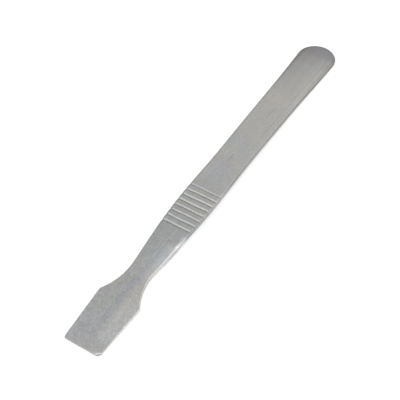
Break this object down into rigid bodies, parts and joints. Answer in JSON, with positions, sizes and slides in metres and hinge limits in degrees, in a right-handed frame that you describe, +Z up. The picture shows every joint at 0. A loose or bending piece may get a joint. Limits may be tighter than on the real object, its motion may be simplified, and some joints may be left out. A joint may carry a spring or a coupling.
{
  "type": "metal spudger",
  "caption": "Flat stainless-steel prying tool: thin rectangular blade, waisted neck, cross-grooved thumb grip and a long handle with a rounded butt.",
  "frame": {"origin": "centre of the footprint, on the plane that the tool rests on", "axes": "+X along the tool from the prying edge to the rounded butt, +Y across it, +Z up from the underside to the grooved face"},
  "size_m": [0.12, 0.0112, 0.0024],
  "materials": {
    "stainless_steel": "satin, lightly brushed along the length, with fine handling scratches"
  },
  "bodies": {
    "root": {"spudger_body": "stainless_steel"}
  },
  "joints": []
}
